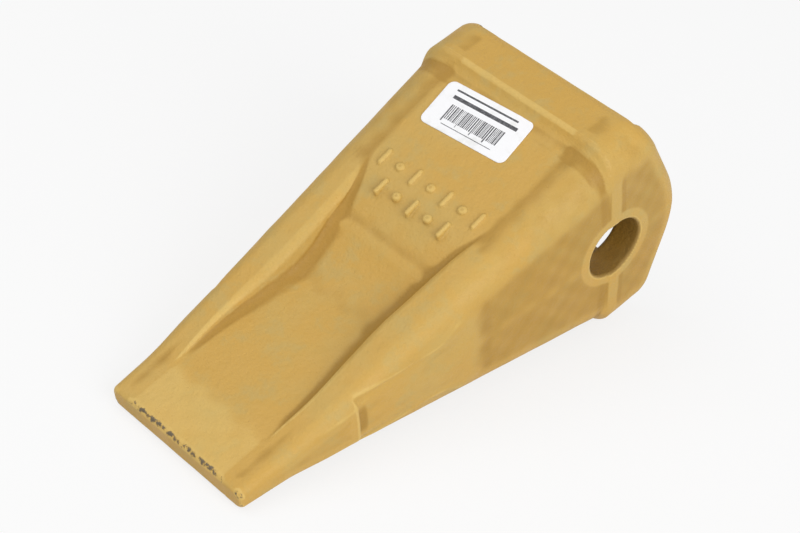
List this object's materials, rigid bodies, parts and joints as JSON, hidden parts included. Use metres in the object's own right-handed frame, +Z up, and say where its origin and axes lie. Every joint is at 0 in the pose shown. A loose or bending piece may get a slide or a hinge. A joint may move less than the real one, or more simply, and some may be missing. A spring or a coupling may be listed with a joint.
{
  "type": "bucket tooth",
  "caption": "Wedge-shaped digging tooth, a hollow steel casting with a collar, scooped faces, rounded ears and a cross-pin bore, painted yellow, with a paper label.",
  "frame": {"origin": "middle of the pin bore, on the bore's axis, half-way between the flanks", "axes": "+X along the ground towards the cutting edge, +Y along the bore's axis, +Z up, with the tooth lying on its lower face"},
  "size_m": [0.2215, 0.107, 0.1051],
  "materials": {
    "cast_paint": "ochre-yellow satin paint on sand-cast steel, bare and dark on worn edges",
    "label_paper": "white coated paper, with plain printed bars"
  },
  "bodies": {
    "root": {"tooth_casting": "cast_paint", "label": "label_paper"}
  },
  "joints": []
}
